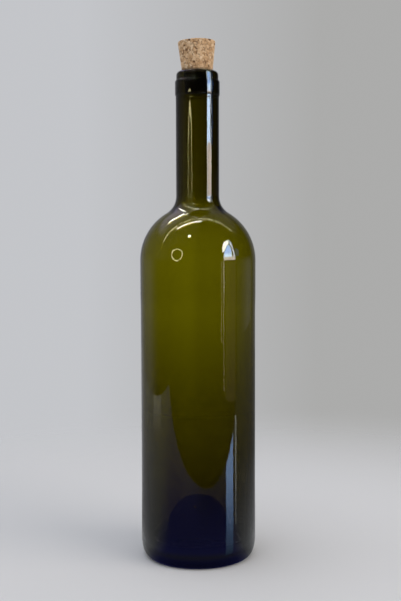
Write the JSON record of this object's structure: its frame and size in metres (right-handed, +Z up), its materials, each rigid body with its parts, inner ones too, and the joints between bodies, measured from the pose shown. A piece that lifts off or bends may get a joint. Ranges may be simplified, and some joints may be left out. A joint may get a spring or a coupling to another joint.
{
  "type": "wine bottle",
  "caption": "Tall round wine bottle in olive-green glass with a punted base, a banded mouth and a tapered cork; empty and unlabelled.",
  "frame": {"origin": "centre of the flat ring that the bottle stands on", "axes": "+Z up along the bottle's axis; the bottle is round, and the cork leans a little towards -X"},
  "size_m": [0.0764, 0.0764, 0.3401],
  "materials": {
    "olive_glass": "smooth, olive green, see-through",
    "cork": "matt agglomerated cork"
  },
  "bodies": {
    "root": {"bottle": "olive_glass", "cork": "cork"}
  },
  "joints": []
}
